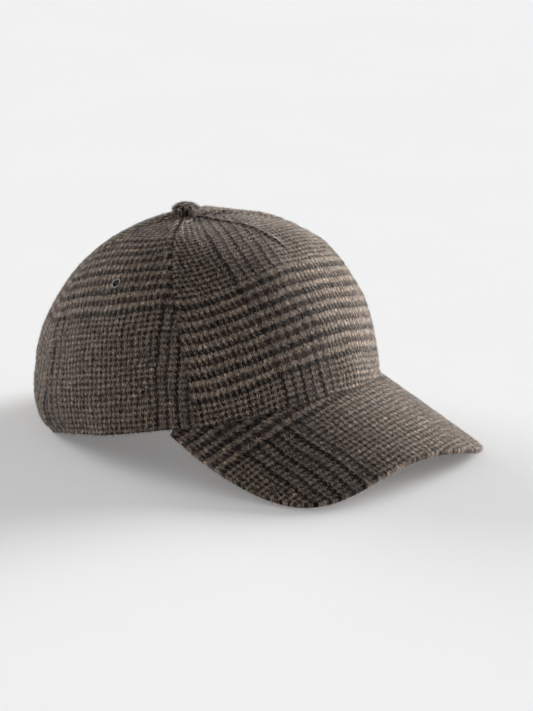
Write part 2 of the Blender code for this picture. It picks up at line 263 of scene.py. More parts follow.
def glen_check_wool():
    """Woollen twill, fulled and brushed.

    It is matt and soft-edged. Its nap gives it a pale sheen, and its rims glow a little, because
    light goes half a millimetre into the fibres and comes out again.
    """
    wool = bpy.data.materials.new("glen_check_wool")
    wool.use_nodes = True
    tree = wool.node_tree
    shader = tree.nodes["Principled BSDF"]
    cloth = add(tree, "ShaderNodeUVMap", uv_map="cloth")
    even = add(tree, "ShaderNodeVectorMath", {0: cloth, "Scale": 1 / THREAD}, operation="SCALE")

    # Threads waver where the cloth was pulled in fulling and sewing
    waver = add(tree, "ShaderNodeTexNoise", {"Vector": even, "Scale": WAVER_SCALE, "Detail": 0.0},
                "Color", noise_dimensions="2D")
    waver = add(tree, "ShaderNodeVectorMath", {0: waver, 1: (0.5, 0.5, 0.5)}, operation="SUBTRACT")
    waver = add(tree, "ShaderNodeVectorMath", {0: waver, 1: WAVER_BY, 2: even},
                operation="MULTIPLY_ADD")
    # Brushing drags fibres out of their thread, down the cloth
    combed = add(tree, "ShaderNodeVectorMath", {0: even, 1: DRAG_SCALE}, operation="MULTIPLY")
    stray = add(tree, "ShaderNodeTexNoise", {"Vector": combed, "Scale": 1.0, "Detail": 2.0}, "Color",
                noise_dimensions="2D")
    stray = add(tree, "ShaderNodeVectorMath", {0: stray, 1: (0.5, 0.5, 0.5)}, operation="SUBTRACT")
    counted = add(tree, "ShaderNodeVectorMath", {0: stray, 1: DRAG_BY, 2: waver},
                  operation="MULTIPLY_ADD")
    crossing = add(tree, "ShaderNodeVectorMath", {0: counted}, operation="FLOOR")
    warp_thread = add(tree, "ShaderNodeSeparateXYZ", {0: crossing}, "X")
    weft_thread = warp_thread.node.outputs["Y"]
    warp, is_fine = dyed_yarns(tree, warp_thread, WARP_BANDS, WARP_FINE, WARP_BAND_THREADS, WARP_THREADS)
    weft, is_fine = dyed_yarns(tree, weft_thread, WEFT_BANDS, WEFT_FINE, WEFT_BAND_THREADS, WEFT_THREADS)

    # Over two and under two, one thread further on in each row
    step = add(tree, "ShaderNodeMath", {0: warp_thread, 1: weft_thread}, operation="ADD")
    step = add(tree, "ShaderNodeMath", {0: step, 1: 4.0}, operation="FLOORED_MODULO")
    weft_up = add(tree, "ShaderNodeMath", {0: step, 1: 1.5}, operation="GREATER_THAN")
    over = add(tree, "ShaderNodeMapRange", {0: is_fine, 3: WEFT_SHOWN["bands over"],
                                            4: WEFT_SHOWN["fine over"]})
    under = add(tree, "ShaderNodeMapRange", {0: is_fine, 3: WEFT_SHOWN["bands under"],
                                             4: WEFT_SHOWN["fine under"]})
    weft_share = add(tree, "ShaderNodeMapRange", {0: weft_up, 3: under, 4: over})
    colour = add(tree, "ShaderNodeMix", {0: weft_share, 6: warp, 7: weft}, 2, data_type="RGBA")
    # Dark warp shows through the pale bands of the weft, and pale warp hardly through the dark ones
    through = add(tree, "ShaderNodeMapRange", {0: is_fine, 3: DARK_WARP_SHOWN, 4: 0.0})
    colour = add(tree, "ShaderNodeMix", {0: through, 6: colour, 7: warp}, 2, data_type="RGBA",
                 blend_type="DARKEN")
    # The yarn is uneven, so each crossing has a tone of its own
    tone = add(tree, "ShaderNodeTexWhiteNoise", {"Vector": crossing}, noise_dimensions="2D")
    tone = add(tree, "ShaderNodeMapRange", {0: tone, 3: CROSSING_TONES[0], 4: CROSSING_TONES[1]})
    colour = add(tree, "ShaderNodeMix", {0: 1.0, 6: colour, 7: tone}, 2, data_type="RGBA",
                 blend_type="MULTIPLY")

    # Each float is a low ridge along its thread. The ridge feeds the bump, and its colour is also
    # darkened toward the float's edges as painted shade in the grooves between threads
    from_middle = add(tree, "ShaderNodeVectorMath", {0: counted}, operation="FRACTION")
    from_middle = add(tree, "ShaderNodeVectorMath", {0: from_middle, 1: (0.5, 0.5, 0.5)},
                      operation="SUBTRACT")
    bowed = add(tree, "ShaderNodeVectorMath", {0: from_middle, 1: from_middle}, operation="MULTIPLY")
    warp_bow = add(tree, "ShaderNodeSeparateXYZ", {0: bowed}, "X")
    weft_bow = warp_bow.node.outputs["Y"]
    ridge = add(tree, "ShaderNodeMix", {0: weft_up, 2: warp_bow, 3: weft_bow})
    ridge = add(tree, "ShaderNodeMath", {0: ridge, 1: -4.0, 2: 1.0}, operation="MULTIPLY_ADD")
    shade = add(tree, "ShaderNodeMapRange", {0: ridge, 3: RIDGE_SHADE_TONES[0], 4: RIDGE_SHADE_TONES[1]})
    colour = add(tree, "ShaderNodeMix", {0: 1.0, 6: colour, 7: shade}, 2, data_type="RGBA",
                 blend_type="MULTIPLY")

    # Wool yarn is spun from fibres of several tones, and some pale ones lie loose on its face
    hairs = add(tree, "ShaderNodeVectorMath", {0: even, 1: HAIR_SCALE}, operation="MULTIPLY")
    fibres = add(tree, "ShaderNodeTexNoise", {"Vector": hairs, "Scale": 1.0, "Detail": 3.0},
                 noise_dimensions="2D")
    melange = add(tree, "ShaderNodeMapRange", {0: fibres, 1: 0.33, 2: 0.67,
                                               3: MELANGE_TONES[0], 4: MELANGE_TONES[1]})
    colour = add(tree, "ShaderNodeMix", {0: 1.0, 6: colour, 7: melange}, 2, data_type="RGBA",
                 blend_type="MULTIPLY")
    loose = add(tree, "ShaderNodeMapping", {0: hairs, "Location": HAIR_OFFSET,
                                            "Rotation": (0.0, 0.0, HAIR_LEAN)})
    loose = add(tree, "ShaderNodeTexNoise", {"Vector": loose, "Scale": 1.0, "Detail": 2.0},
                noise_dimensions="2D")
    loose = add(tree, "ShaderNodeMapRange", {0: loose, 1: 0.6, 2: 0.74, 3: 0.0, 4: 0.75})
    colour = add(tree, "ShaderNodeMix", {0: loose, 6: colour, 7: linear(LOOSE_HAIR)}, 2,
                 data_type="RGBA")
    clouds = add(tree, "ShaderNodeTexNoise", {"Vector": even, "Scale": CLOUD_SCALE, "Detail": 3.0},
                 noise_dimensions="2D")
    clouds = add(tree, "ShaderNodeMapRange", {0: clouds, 1: 0.3, 2: 0.7,
                                              3: CLOUD_TONES[0], 4: CLOUD_TONES[1]})
    colour = add(tree, "ShaderNodeMix", {0: 1.0, 6: colour, 7: clouds}, 2, data_type="RGBA",
                 blend_type="MULTIPLY")
    tree.links.new(colour, shader.inputs["Base Color"])

    height = add(tree, "ShaderNodeMath", {0: fibres, 1: 0.9, 2: ridge}, operation="MULTIPLY_ADD")
    relief = add(tree, "ShaderNodeBump", {"Height": height, "Strength": 0.7, "Distance": RELIEF})
    tree.links.new(relief, shader.inputs["Normal"])
    shader.inputs["Roughness"].default_value = 0.95
    shader.inputs["Specular IOR Level"].default_value = 0.2
    shader.inputs["Subsurface Weight"].default_value = 0.36
    shader.inputs["Subsurface Radius"].default_value = (1.0, 0.9, 0.8)
    shader.inputs["Subsurface Scale"].default_value = 0.5 * MM
    shader.inputs["Sheen Weight"].default_value = 0.3
    shader.inputs["Sheen Roughness"].default_value = 0.21
    shader.inputs["Sheen Tint"].default_value = linear("#ebe4df")
    return wool


wool = glen_check_wool()

CLOTH_THICKNESS = 2.2 * MM
TURNED_EDGE = 0.7 * MM
GRID_STEP = 1.3 * MM
EDGE_STEPS = np.array([0, 0.12, 0.3, 0.55, 0.85, 1.15, 1.6, 2.1, 2.6, 3.2, 4.1]) * MM
TABLE_GAP = 0.1 * MM
PROFILE_POINTS = 241
UPPER_POINTS = 100  # from here on the profile only narrows, up to the button

# Each dent is a place, a depth and a half width; one with a negative depth is a welt
SEAM_VALLEY = 0.0, 0.35 * MM, 1.6 * MM
SEAM_WELT = 3.2 * MM, -0.6 * MM, 1.6 * MM
HEM_FOLD = 2.9 * MM, 0.5 * MM, 0.7 * MM
HEM_EDGE = 0.0, -0.3 * MM, 2.0 * MM
HEM_ROLL = 0.0, 3.2 * MM, 5 * MM
HEM_BULGE = 17 * MM, -1.4 * MM, 9 * MM
HEM_ROLL_REACH = 1.5
PUCKER = 0.26 * MM
PUCKER_FADE = 2.8 * MM
PUCKER_WAVES = 0.72 * MM, 1.45 * MM, 2.9 * MM

FRONT_SEAM_FOOT = radians(52)
FRONT_SEAM_LEAN = radians(17.5)
DART_LEAN = radians(9)
DART_LENGTH_SHARE = 0.28
DART_FADE_SHARE = 0.10
DART_TAKE = 7 * MM
DART_VALLEY = 0.0, 0.3 * MM, 1.1 * MM
DART_WELT = 2.4 * MM, -0.6 * MM, 1.5 * MM
FRONT_HALF_WIDTH = 78 * MM
FRONT_WEFT_START = 12.4 * MM
FRONT_WEFT_EASE = 12.5 / 12.9
FRONT_WEFT_HUMP = 6.5 * MM
FRONT_HUMP_POWER = 1.5
FRONT_WARP_START = 40.4 * MM
FRONT_WARP_EASE = 0.94
BOW_HEIGHT = 62 * MM
BOW_ABOVE = 0.0049 / MM
BOW_BELOW = 0.115

FRONT_NAP = 28000
NAP_RADIUS = 0.08 * MM
NAP_LENGTH = 1.2 * MM, 3.2 * MM
NAP_LIFT = radians(3), radians(28)
NAP_SWING = radians(24)
NAP_DRAG = 0.5 * THREAD
NAP_DOWN_SHARE = 0.75


def spaced(length, both_ends=True):
    """Places along a length, close together where a turned edge curls, and even between."""
    far = length - EDGE_STEPS[-1] if both_ends else length
    count = round((far - EDGE_STEPS[-1]) / GRID_STEP)
    inner = np.linspace(EDGE_STEPS[-1], far, count + 1)[1:]
    ending = (length - EDGE_STEPS[::-1])[1:] if both_ends else []
    return np.concatenate([EDGE_STEPS, inner, ending])


def lay_out(line, shares):
    """A panel's grid: turn, rise and length of cloth up from the hem, row by row.

    line gives the turn for a share across the panel and a rise.
    """
    fine = 1 - (1 - np.linspace(0, 1, PROFILE_POINTS)) ** 3
    columns = []
    for share in shares:
        points = crown(line(share, fine), fine)
        steps = np.linalg.norm(np.diff(points, axis=0), axis=1)
        length = np.concatenate([[0], np.cumsum(steps)])
        radius = np.hypot(points[:, 0], points[:, 1] - TOP_SET_BACK)
        first = max(0.0, np.interp(TABLE_GAP, points[:, 2], length))
        last = np.interp(-TOP_HOLE_RADIUS, -radius[UPPER_POINTS:], length[UPPER_POINTS:])
        columns.append((length, first, last))
    span = max(last - first for length, first, last in columns)
    rows = spaced(span, both_ends=False) / span
    up = np.stack([first + (last - first) * rows for length, first, last in columns], 1)
    rise = np.stack([np.interp(up[:, at], columns[at][0], fine) for at in range(len(shares))], 1)
    turn = np.stack([line(share, rise[:, at]) for at, share in enumerate(shares)], 1)
    return turn, rise, up


def curl(distance, radius=TURNED_EDGE):
    """How deep a turned edge has curled at a distance from it."""
    left = np.clip(radius - distance, 0, radius)
    return radius - np.sqrt(radius ** 2 - left ** 2)


def spread(turn, rise):
    """Length across the cloth that one radian of turn covers."""
    chord = crown(turn + SLOPE_STEP, rise) - crown(turn - SLOPE_STEP, rise)
    return np.linalg.norm(chord, axis=-1) / (2 * SLOPE_STEP)


def soft_wobble(points):
    """The slight unevenness of steamed wool: a few long, low waves."""
    waves = [  # wavelength and height in mm, heading in degrees, climb
        (62, 0.32, 20, 0.5), (47, 0.24, 110, 0.9), (38, 0.18, 65, -0.7),
        (29, 0.12, 160, 0.4), (21, 0.07, 35, 1.3), (17, 0.05, 130, -1.1)]
    height = 0
    for number, (wavelength, tall, heading, climb) in enumerate(waves):
        direction = np.array([cos(radians(heading)), sin(radians(heading)), climb])
        phase = points @ direction / (wavelength * MM) * 2 * pi + 2.3 * number
        height = height + tall * MM * np.sin(phase)
    return height


def dent(distance, place, depth, half_width):
    """A soft dent along a line, deepest at its place and fading to both sides."""
    return depth * np.exp(-((distance - place) / half_width) ** 2)


def seam_pull(distance, up, seed):
    """The valley, the low welt and the small puckers beside a seam."""
    ripple = sum(np.sin(up / wave + (number + 1) * seed) for number, wave in enumerate(PUCKER_WAVES))
    pucker = PUCKER * ripple * np.exp(-distance / PUCKER_FADE)
    return dent(distance, *SEAM_VALLEY) + dent(distance, *SEAM_WELT) + pucker


def hem_crease(up_from_edge, turn):
    """The hem is turned up inside, and its fold shows as a pressed line a little above the edge.

    Behind, where the cap rests on it, the hem also rolls under.
    """
    fold = dent(up_from_edge, *HEM_FOLD) + dent(up_from_edge, *HEM_EDGE)
    rolled = dent(up_from_edge, *HEM_ROLL) + dent(up_from_edge, *HEM_BULGE)
    return fold + rolled * np.clip(-HEM_ROLL_REACH * np.cos(turn), 0, 1)


def cloth_shell(name, outer, inner, cloth, cloth_past=None, middle=0):
    """A closed piece of cloth from two equal grids of points, with its threads laid out by cloth.

    Past its middle column, a piece with a dart takes its threads from cloth_past.
    """
    rows, columns = outer.shape[:2]
    points = np.concatenate([outer.reshape(-1, 3), inner.reshape(-1, 3)]) + [0, hem_middle, 0]
    face = np.arange(rows * columns).reshape(rows, columns)
    back = face + rows * columns
    quads = [
        (face[:-1, :-1], face[:-1, 1:], face[1:, 1:], face[1:, :-1]),
        (back[:-1, :-1], back[1:, :-1], back[1:, 1:], back[:-1, 1:]),
        (back[0, :-1], back[0, 1:], face[0, 1:], face[0, :-1]),
        (face[-1, :-1], face[-1, 1:], back[-1, 1:], back[-1, :-1]),
        (face[:-1, 0], face[1:, 0], back[1:, 0], back[:-1, 0]),
        (back[:-1, -1], back[1:, -1], face[1:, -1], face[:-1, -1]),
    ]
    faces = np.concatenate([np.stack([c.ravel() for c in corners], 1) for corners in quads])
    mesh = bpy.data.meshes.new(name)
    mesh.from_pydata(points.tolist(), [], faces.tolist())
    threads_at = np.tile(cloth.reshape(-1, 2), (2, 1))[faces]
    if cloth_past is not None:
        past = (faces % columns).min(axis=1) >= middle
        threads_at[past] = np.tile(cloth_past.reshape(-1, 2), (2, 1))[faces[past]]
    mesh.uv_layers.new(name="cloth").data.foreach_set("uv", threads_at.ravel())
    mesh.materials.append(wool)
    mesh.shade_smooth()
    made = bpy.data.objects.new(name, mesh)
    bpy.context.collection.objects.link(made)
    return made


def raise_nap(panel, face, cloth, count, seed, bare=()):
    """Loose fibres that brushing has raised: each a thin closed cone, rooted in the cloth.

    They lie mostly along the warp, and are drawn thicker than wool fibre so that they show. None
    grows at the bare places, each a centre and a radius, and none goes under the table.
    """
    draw = np.random.default_rng(seed)
    corner = face + [0, hem_middle, 0]
    across = corner[:-1, 1:] - corner[:-1, :-1]
    up = corner[1:, :-1] - corner[:-1, :-1]
    facing = np.cross(across, up)
    area = np.linalg.norm(facing, axis=-1)
    cell = draw.choice(area.size, count, p=(area / area.sum()).ravel())
    row, column = np.divmod(cell, area.shape[1])
    over, along = draw.random((2, count, 1))
    root = corner[row, column] + across[row, column] * over + up[row, column] * along
    thread = (cloth[row, column] + (cloth[row, column + 1] - cloth[row, column]) * over
              + (cloth[row + 1, column] - cloth[row, column]) * along)
    thread = thread + draw.normal(0, NAP_DRAG, (count, 2))
    normal = facing[row, column] / area[row, column][:, None]
    upward = up[row, column] / np.linalg.norm(up[row, column], axis=-1, keepdims=True)
    beside = np.cross(upward, normal)
    swing = draw.normal(0, NAP_SWING, (count, 1)) + pi * (draw.random((count, 1)) < NAP_DOWN_SHARE)
    lift = draw.uniform(*NAP_LIFT, (count, 1))
    length = draw.uniform(*NAP_LENGTH, (count, 1))
    heading = (upward * np.cos(swing) + beside * np.sin(swing)) * np.cos(lift) + normal * np.sin(lift)
    tip = root + heading * length
    kept = (np.minimum(root, tip)[:, 2] > 2 * NAP_RADIUS) & (area[row, column] > 0)
    for place, radius in bare:
        kept &= np.linalg.norm(root - place, axis=1) > radius + NAP_RADIUS
    root, tip, normal, heading, thread = (each[kept] for each in (root, tip, normal, heading, thread))
    first = np.cross(heading, normal)
    first /= np.linalg.norm(first, axis=-1, keepdims=True)
    second = np.cross(heading, first)
    foot = root - normal * 2 * NAP_RADIUS
    ring = [foot + NAP_RADIUS * (first * cos(angle) + second * sin(angle))
            for angle in (0, 2 * pi / 3, 4 * pi / 3)]
    start = np.arange(len(root))[:, None] * 4
    faces = np.concatenate([start + corners for corners in ((0, 1, 3), (1, 2, 3), (2, 0, 3), (0, 2, 1))])
    fibres = bpy.data.meshes.new("nap")
    fibres.from_pydata(np.stack([*ring, tip], 1).reshape(-1, 3).tolist(), [], faces.tolist())
    thread = np.tile(np.repeat(thread, 3, axis=0), (4, 1))
    fibres.uv_layers.new(name="cloth").data.foreach_set("uv", thread.ravel())
    joined = bmesh.new()
    joined.from_mesh(panel.data)
    joined.from_mesh(fibres)
    joined.to_mesh(panel.data)
    joined.free()
    bpy.data.meshes.remove(fibres)


def sew_panel(turn, rise, up, start, end, seeds, extra=0.0):
    """Outer and inner grids of a panel, turned in at its hem and at both seams."""
    points = crown(turn, rise)
    normal = crown_normal(turn, rise)
    width = spread(turn, rise)
    from_start = abs(turn - start) * width
    from_end = abs(end - turn) * width
    from_hem = up - up[0]
    depth = (seam_pull(from_start, up, seeds[0]) + seam_pull(from_end, up, seeds[1])
             + hem_crease(from_hem, turn) + extra - soft_wobble(points))
    turned = curl(from_start) + curl(from_end) + curl(from_hem)
    turned = np.minimum(turned, TURNED_EDGE)
    outer = points - normal * (depth + turned)[..., None]
    inner = points - normal * (depth + CLOTH_THICKNESS - turned)[..., None]
    return outer, inner


def across_from(points, turn, middle):
    """Length of cloth across each row, from a line up the crown: its turn in each row."""
    steps = np.linalg.norm(np.diff(points, axis=1), axis=-1)
    across = np.concatenate([np.zeros((len(steps), 1)), np.cumsum(steps, axis=1)], axis=1)
    zero = [np.interp(middle[row], turn[row], across[row]) for row in range(len(turn))]
    return across - np.array(zero)[:, None]


def front_seam(rise):
    """Turn of the seam at the front panel's edge."""
    return FRONT_SEAM_FOOT + FRONT_SEAM_LEAN * rise


def front_line(share, rise):
    """Turn for a share across the front panel, from -1 to 1, with the dart's line at 0."""
    dart = DART_LEAN * rise
    return dart + (np.sign(share) * front_seam(rise) - dart) * abs(share)


half = spaced(FRONT_HALF_WIDTH)
front_shares = np.concatenate([-half[::-1], half[1:]]) / FRONT_HALF_WIDTH
turn, rise, up = lay_out(front_line, front_shares)
dart_across = (turn - DART_LEAN * rise) * spread(turn, rise)
dart_shown = np.clip((rise - 1 + DART_LENGTH_SHARE) / DART_FADE_SHARE, 0, 1)
dart_dent = dart_shown * (dent(dart_across, *DART_VALLEY) + dent(dart_across, *DART_WELT))
outer, inner = sew_panel(turn, rise, up, -front_seam(rise), front_seam(rise), (0.7, 2.9), dart_dent)

# The threads run straight up the middle and bow toward the side where the crown turns over
hump = np.cos(np.clip(turn / FRONT_SEAM_FOOT, -1, 1) * pi / 2) ** FRONT_HUMP_POWER
above = up - BOW_HEIGHT
bow = np.where(above > 0, BOW_ABOVE * above ** 2, -BOW_BELOW * above)
threads_up = (up - FRONT_WEFT_HUMP * hump - FRONT_WEFT_START) * FRONT_WEFT_EASE
threads_across = across_from(outer, turn, 0 * up[:, 0]) - bow + FRONT_WARP_START
threads_across = np.where(threads_across < 0, FRONT_WARP_EASE * threads_across, threads_across)
taken = DART_TAKE / 2 * dart_shown * (rise - 1 + DART_LENGTH_SHARE) / DART_LENGTH_SHARE
front_right = np.stack([threads_across - taken, threads_up], -1)
front_left = np.stack([threads_across + taken, threads_up], -1)
front_panel = cloth_shell("front_panel_wool", outer, inner, front_right, front_left,
                          middle=len(half) - 1)
raise_nap(front_panel, outer, front_right, FRONT_NAP, 1)
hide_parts("front_panel")
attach(front_panel, "root")


# Side and back panels
# Two side panels and two back panels of the same wool, cut as gores and sewn edge to edge with their
# seams turned in. Their weft bands were matched across the seams before sewing.

BACK_SEAM_FOOT = radians(118)
BACK_SEAM_LEAN = radians(-1.6)
SIDE_WEFT_START = 65.2 * MM
SIDE_WARP_START = 29.4 * MM
SIDE_WARP_EASE = 0.89
SIDE_WARP_STRETCH = 1.05
SIDE_WARP_SHIFT = 2 * THREAD
SIDE_WIDTH = 108 * MM
BACK_WIDTH = 95 * MM
CLOSED_UP_FROM = 26 * MM
CLOSED_UP = 0.003 / MM
LIFTED_FROM = 28 * MM
LIFTED_OVER = 10 * MM
LIFTED_BY = 5 * MM
LIFTED_BESIDE = 6 * MM
SIDE_NAP = 28500
BACK_NAP = 21000


def back_seam(rise):
    """Turn of the seam between a side and a back panel."""
    return BACK_SEAM_FOOT + BACK_SEAM_LEAN * rise


def gore(name, node, start, end, width, seeds, front_edge=0):
    """A panel between two seams, each a function that gives the turn for a rise.

    front_edge says which edge is sewn to the front panel: 1 the last, -1 the first, 0 none.
    """
    shares = spaced(width) / width
    turn, rise, up = lay_out(lambda share, at: start(at) + (end(at) - start(at)) * share, shares)
    outer, inner = sew_panel(turn, rise, up, start(rise), end(rise), seeds)
    side = front_edge or 1
    across = across_from(outer, turn, (start(rise) + end(rise))[:, 0] / 2) * side - SIDE_WARP_START
    across = np.where(across < 0, SIDE_WARP_EASE, SIDE_WARP_STRETCH) * across + SIDE_WARP_SHIFT
    threads_up = up - SIDE_WEFT_START
    # The upper bands close up, and were eased upward to meet those of the front
    threads_up = threads_up + CLOSED_UP * np.maximum(0, threads_up - CLOSED_UP_FROM) ** 2
    if front_edge:
        from_front = (turn[:, -1:] - turn if front_edge > 0 else turn - turn[:, :1]) * spread(turn, rise)
        high = np.clip((threads_up - LIFTED_FROM) / LIFTED_OVER, 0, 1)
        threads_up = threads_up - LIFTED_BY * high * np.exp(-from_front / LIFTED_BESIDE)
    laid = np.stack([across, threads_up], -1)
    panel = cloth_shell(name, outer, inner, laid)
    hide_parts(node)
    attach(panel, "root")
    return panel, outer, laid


side_right = gore("side_panel_right_wool", "side_panel_right",
                  lambda rise: -back_seam(rise), lambda rise: -front_seam(rise),
                  SIDE_WIDTH, (1.9, 0.7), 1)
side_left = gore("side_panel_left_wool", "side_panel_left",
                 front_seam, back_seam, SIDE_WIDTH, (2.9, 4.4), -1)
back_right = gore("back_panel_right_wool", "back_panel_right",
                  lambda rise: 0 * rise - pi, lambda rise: -back_seam(rise),
                  BACK_WIDTH, (5.1, 1.9))
raise_nap(*back_right, BACK_NAP, 2)
back_left = gore("back_panel_left_wool", "back_panel_left",
                 back_seam, lambda rise: 0 * rise + pi, BACK_WIDTH, (4.4, 5.1))
raise_nap(*back_left, BACK_NAP, 3)


# Eyelets
# One small vent in each side panel: a rolled flange and a barrel, pressed from thin brass and plated a
# dark gun-metal grey. The barrel goes through the cloth and is clenched behind it.

EYELET_TURN = radians(92.7)
EYELET_RISE_SHARE = 0.543
EYELET_HOLE_RADIUS = 2.0 * MM
EYELET_BARREL_RADIUS = 2.4 * MM
EYELET_FLANGE_RADIUS = 3.1 * MM
EYELET_FLANGE_HEIGHT = 0.8 * MM
EYELET_SINK = 0.25 * MM
EYELET_PLAY = 0.05 * MM
PUNCH_LENGTH = 12 * MM


def gun_metal_plate():
    """Dark nickel plate over pressed brass: a dull grey metal, unevenly worn.

    Its scratches are too fine to show, so they are drawn as a mottle of about 1 mm.
    """
    metal = bpy.data.materials.new("gun_metal_plate")
    metal.use_nodes = True
    tree = metal.node_tree
    shader = tree.nodes["Principled BSDF"]
    place = add(tree, "ShaderNodeTexCoord", output="Object")
    wear = add(tree, "ShaderNodeTexNoise", {"Vector": place, "Scale": 900.0, "Detail": 3.0})
    colour = add(tree, "ShaderNodeMix", {0: wear, 6: linear("#5a5857"), 7: linear("#82807e")}, 2,
                 data_type="RGBA")
    rough = add(tree, "ShaderNodeMapRange", {0: wear, 3: 0.36, 4: 0.5})
    tree.links.new(colour, shader.inputs["Base Color"])
    tree.links.new(rough, shader.inputs["Roughness"])
    shader.inputs["Metallic"].default_value = 1.0
    return metal


def rings(name, profile, around, material):
    """A closed turned piece from a ring of profile points (radius, height)."""
    profile = np.array(profile)
    angle = np.linspace(0, 2 * pi, around, endpoint=False)[:, None]
    points = np.stack([profile[:, 0] * np.cos(angle), profile[:, 0] * np.sin(angle),
                       profile[:, 1] + 0 * angle], -1)
    index = np.arange(points[..., 0].size).reshape(around, len(profile))
    beside = np.roll(index, -1, axis=0)
    faces = np.stack([index, beside, np.roll(beside, -1, axis=1), np.roll(index, -1, axis=1)], -1)
    mesh = bpy.data.meshes.new(name)
    mesh.from_pydata(points.reshape(-1, 3).tolist(), [], faces.reshape(-1, 4).tolist())
    mesh.materials.append(material)
    mesh.shade_smooth()
    made = bpy.data.objects.new(name, mesh)
    bpy.context.collection.objects.link(made)
    return made


def pierce(panel, square, radius):
    """Cut the hole that an eyelet's barrel goes through."""
    tool = bpy.data.meshes.new("punch")
    shape = bmesh.new()
    bmesh.ops.create_cone(shape, cap_ends=True, segments=48, radius1=radius, radius2=radius,
                          depth=PUNCH_LENGTH, matrix=square)
    shape.to_mesh(tool)
    shape.free()
    punch = bpy.data.objects.new("punch", tool)
    bpy.context.collection.objects.link(punch)
    hole = panel.modifiers.new("Hole", "BOOLEAN")
    hole.operation = "DIFFERENCE"
    hole.object = punch
    cut = bpy.data.meshes.new_from_object(panel.evaluated_get(bpy.context.evaluated_depsgraph_get()))
    panel.modifiers.clear()
    panel.data = cut
    bpy.data.objects.remove(punch)


gun_metal = gun_metal_plate()
flange_middle = (EYELET_HOLE_RADIUS + EYELET_FLANGE_RADIUS) / 2
flange_half = (EYELET_FLANGE_RADIUS - EYELET_HOLE_RADIUS) / 2
eyelet_profile = [(flange_middle - flange_half * cos(pi * step / 14),
                   EYELET_FLANGE_HEIGHT * sin(pi * step / 14)) for step in range(15)]
eyelet_profile += [(EYELET_BARREL_RADIUS, -0.1 * MM), (EYELET_BARREL_RADIUS, -CLOTH_THICKNESS),
                   (EYELET_HOLE_RADIUS, -CLOTH_THICKNESS)]
for side, word, (panel, face, cloth) in ((-1, "right", side_right), (1, "left", side_left)):
    at = np.array(side * EYELET_TURN), np.array(EYELET_RISE_SHARE)
    facing = Vector(crown_normal(*at))
    centre = Vector(crown(*at)) + Vector((0, hem_middle, 0))
    centre += facing * (float(soft_wobble(crown(*at))) - EYELET_SINK)
    square = Matrix.Translation(centre) @ facing.to_track_quat("Z", "Y").to_matrix().to_4x4()
    pierce(panel, square, EYELET_BARREL_RADIUS + EYELET_PLAY)
    raise_nap(panel, face, cloth, SIDE_NAP, 5 + side, [(centre, EYELET_FLANGE_RADIUS)])
    eyelet = rings("eyelet_" + word + "_ring", eyelet_profile, 64, gun_metal)
    eyelet.data.transform(square)
    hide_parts("eyelet_" + word)
    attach(eyelet, "root")


# Peak
# A stiff board pressed into an arch, covered above and below with the same wool. The two covers meet
# in a seam round its rim, and its inner edge is sewn under the front of the hem.

RIM_NOTCH = 0.45 * MM
RIM_NOTCH_SPREAD = radians(14)
RIM_LENGTH = 250 * MM
CORNER_CURL = 1.2 * MM
UNDER_WALL = 2 * MM
STEPS_ALONG = 220
STEPS_OUT = 45
STEPS_ROUND_RIM = 11

# How the check lies on the peak, counted in threads from a corner of the piece of cloth
PEAK_CLOTH_MARGIN = 60 * MM
PEAK_WEFT_MIDDLE = 44
PEAK_WEFT_START = 44.2
PEAK_WEFT_EASE = 1.15
PEAK_WEFT_SAG = 0.0025
PEAK_WARP_MIDDLE = 62
PEAK_WARP_START = 65.6
PEAK_WARP_EASE = 0.77
PEAK_WARP_SPREAD = 0.0000116
PEAK_TOP_NAP = 20000
PEAK_UNDER_NAP = 10000


def resample(points, count):
    """Even steps along a plan curve."""
    length = np.concatenate([[0], np.cumsum(np.linalg.norm(np.diff(points, axis=0), axis=1))])
    wanted = np.linspace(0, length[-1], count + 1)
    return np.stack([np.interp(wanted, length, points[:, axis]) for axis in range(2)], -1)


def on_peak(plan, depth):
    """Points at a depth below the peak's top face."""
    top = np.column_stack([plan, peak_datum + peak_height(plan[:, 0], plan[:, 1])])
    return top - peak_normal(plan[:, 0]) * depth[:, None]


def peak_shell():
    """Grids for the peak's two covers, from the rim inward."""
    sewn_turn = PEAK_CORNER_TURN * np.linspace(-1, 1, 481)
    sewn = resample(np.stack(hem_plan(sewn_turn), -1), STEPS_ALONG)
    free = resample(peak_outline(), STEPS_ALONG)
    radius = PEAK_THICKNESS / 2
    reach = np.linalg.norm(free - sewn, axis=1)
    outward = (free - sewn) / reach[:, None]
    steps = np.arange(STEPS_ALONG + 1)
    curled = curl(np.minimum(steps, steps[::-1]) / STEPS_ALONG * RIM_LENGTH, CORNER_CURL)
    inward = -sewn / np.array([HEM_HALF_WIDTH, FRONT_REACH]) ** 2
    inward /= np.linalg.norm(inward, axis=1, keepdims=True)
    tucked = np.column_stack([sewn + inward * UNDER_WALL, peak_datum + peak_height(*sewn.T)])
    grids = []
    for side, sink in ((1, 0), (-1, PEAK_THICKNESS)):
        rows = [tucked - peak_normal(sewn[:, 0]) * sink]
        for share in np.linspace(0, 1, STEPS_OUT + 1):
            plan = sewn + outward * ((reach - radius) * share)[:, None]
            rows.append(on_peak(plan, sink + side * curled))
        for angle in np.linspace(0, pi / 2, STEPS_ROUND_RIM + 1)[1:]:
            notch = RIM_NOTCH * np.exp(-((pi / 2 - angle) / RIM_NOTCH_SPREAD) ** 2)
            plan = sewn + outward * (reach - radius + radius * sin(angle) - notch)[:, None]
            rows.append(on_peak(plan, radius + side * (curled - radius) * cos(angle)))
        grids.append(np.stack(rows[::-1], 0))
    return grids


top_face, under_face = peak_shell()
arc = PEAK_ARCH_RADIUS * np.arcsin(top_face[..., 0] / PEAK_ARCH_RADIUS)
